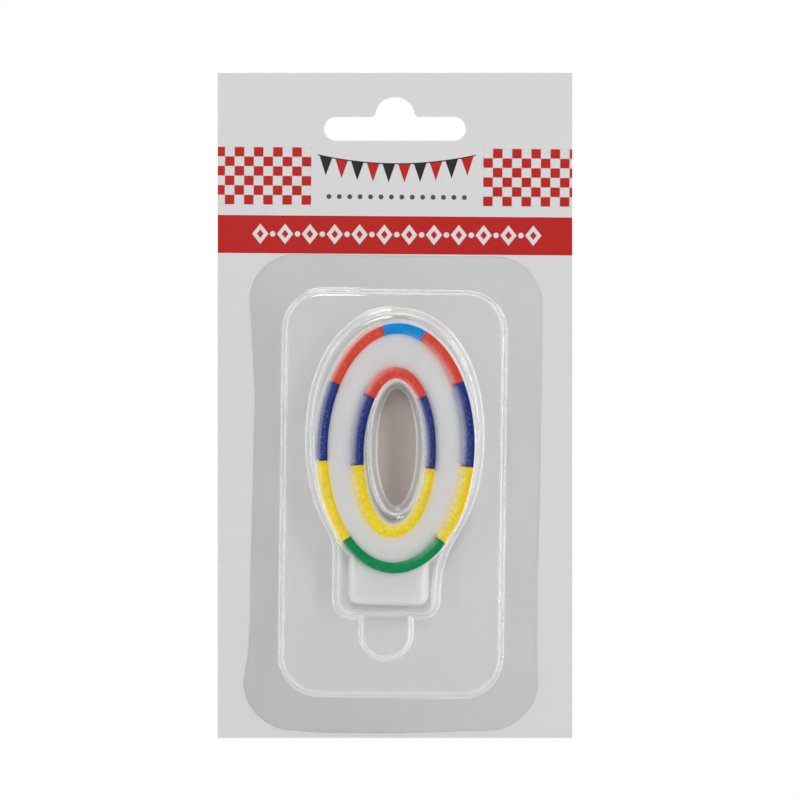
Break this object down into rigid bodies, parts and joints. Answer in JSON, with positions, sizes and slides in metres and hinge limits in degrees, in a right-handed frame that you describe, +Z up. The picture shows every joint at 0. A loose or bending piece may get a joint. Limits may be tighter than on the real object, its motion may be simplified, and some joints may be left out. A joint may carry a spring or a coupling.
{
  "type": "number candle in a blister pack",
  "caption": "Wax number candle shaped as a zero, with coloured outlines, folded wick and cake pick, under a clear formed film on a hang card.",
  "frame": {"origin": "top of the hang slot's arch, on the back face of the card", "axes": "+Z up the card, +X to the right as the front is seen, and -Y out of the front towards the viewer"},
  "size_m": [0.08, 0.012, 0.15],
  "materials": {
    "card_board": "glossy coated board, printed red and black",
    "clear_film": "clear glossy formed film",
    "white_wax": "translucent white wax, satin",
    "azure_wax": "coloured wax, satin",
    "red_wax": "coloured wax, satin",
    "navy_wax": "coloured wax, satin",
    "yellow_wax": "coloured wax, satin",
    "green_wax": "coloured wax, satin",
    "cotton": "white braided cotton, waxed",
    "clear_plastic": "clear glossy moulded plastic"
  },
  "bodies": {
    "root": {"backing_card": "card_board", "blister_shell": "clear_film", "digit_body": "white_wax", "outer_stripe_yellow_right": "yellow_wax", "outer_stripe_navy_right": "navy_wax", "outer_stripe_red_right": "red_wax", "outer_stripe_blue": "azure_wax", "outer_stripe_red_left": "red_wax", "outer_stripe_navy_left": "navy_wax", "outer_stripe_yellow_left": "yellow_wax", "outer_stripe_green": "green_wax", "inner_stripe_navy_right": "navy_wax", "inner_stripe_red": "red_wax", "inner_stripe_navy_left": "navy_wax", "inner_stripe_yellow": "yellow_wax", "wick": "cotton", "cake_pick": "clear_plastic"}
  },
  "joints": []
}
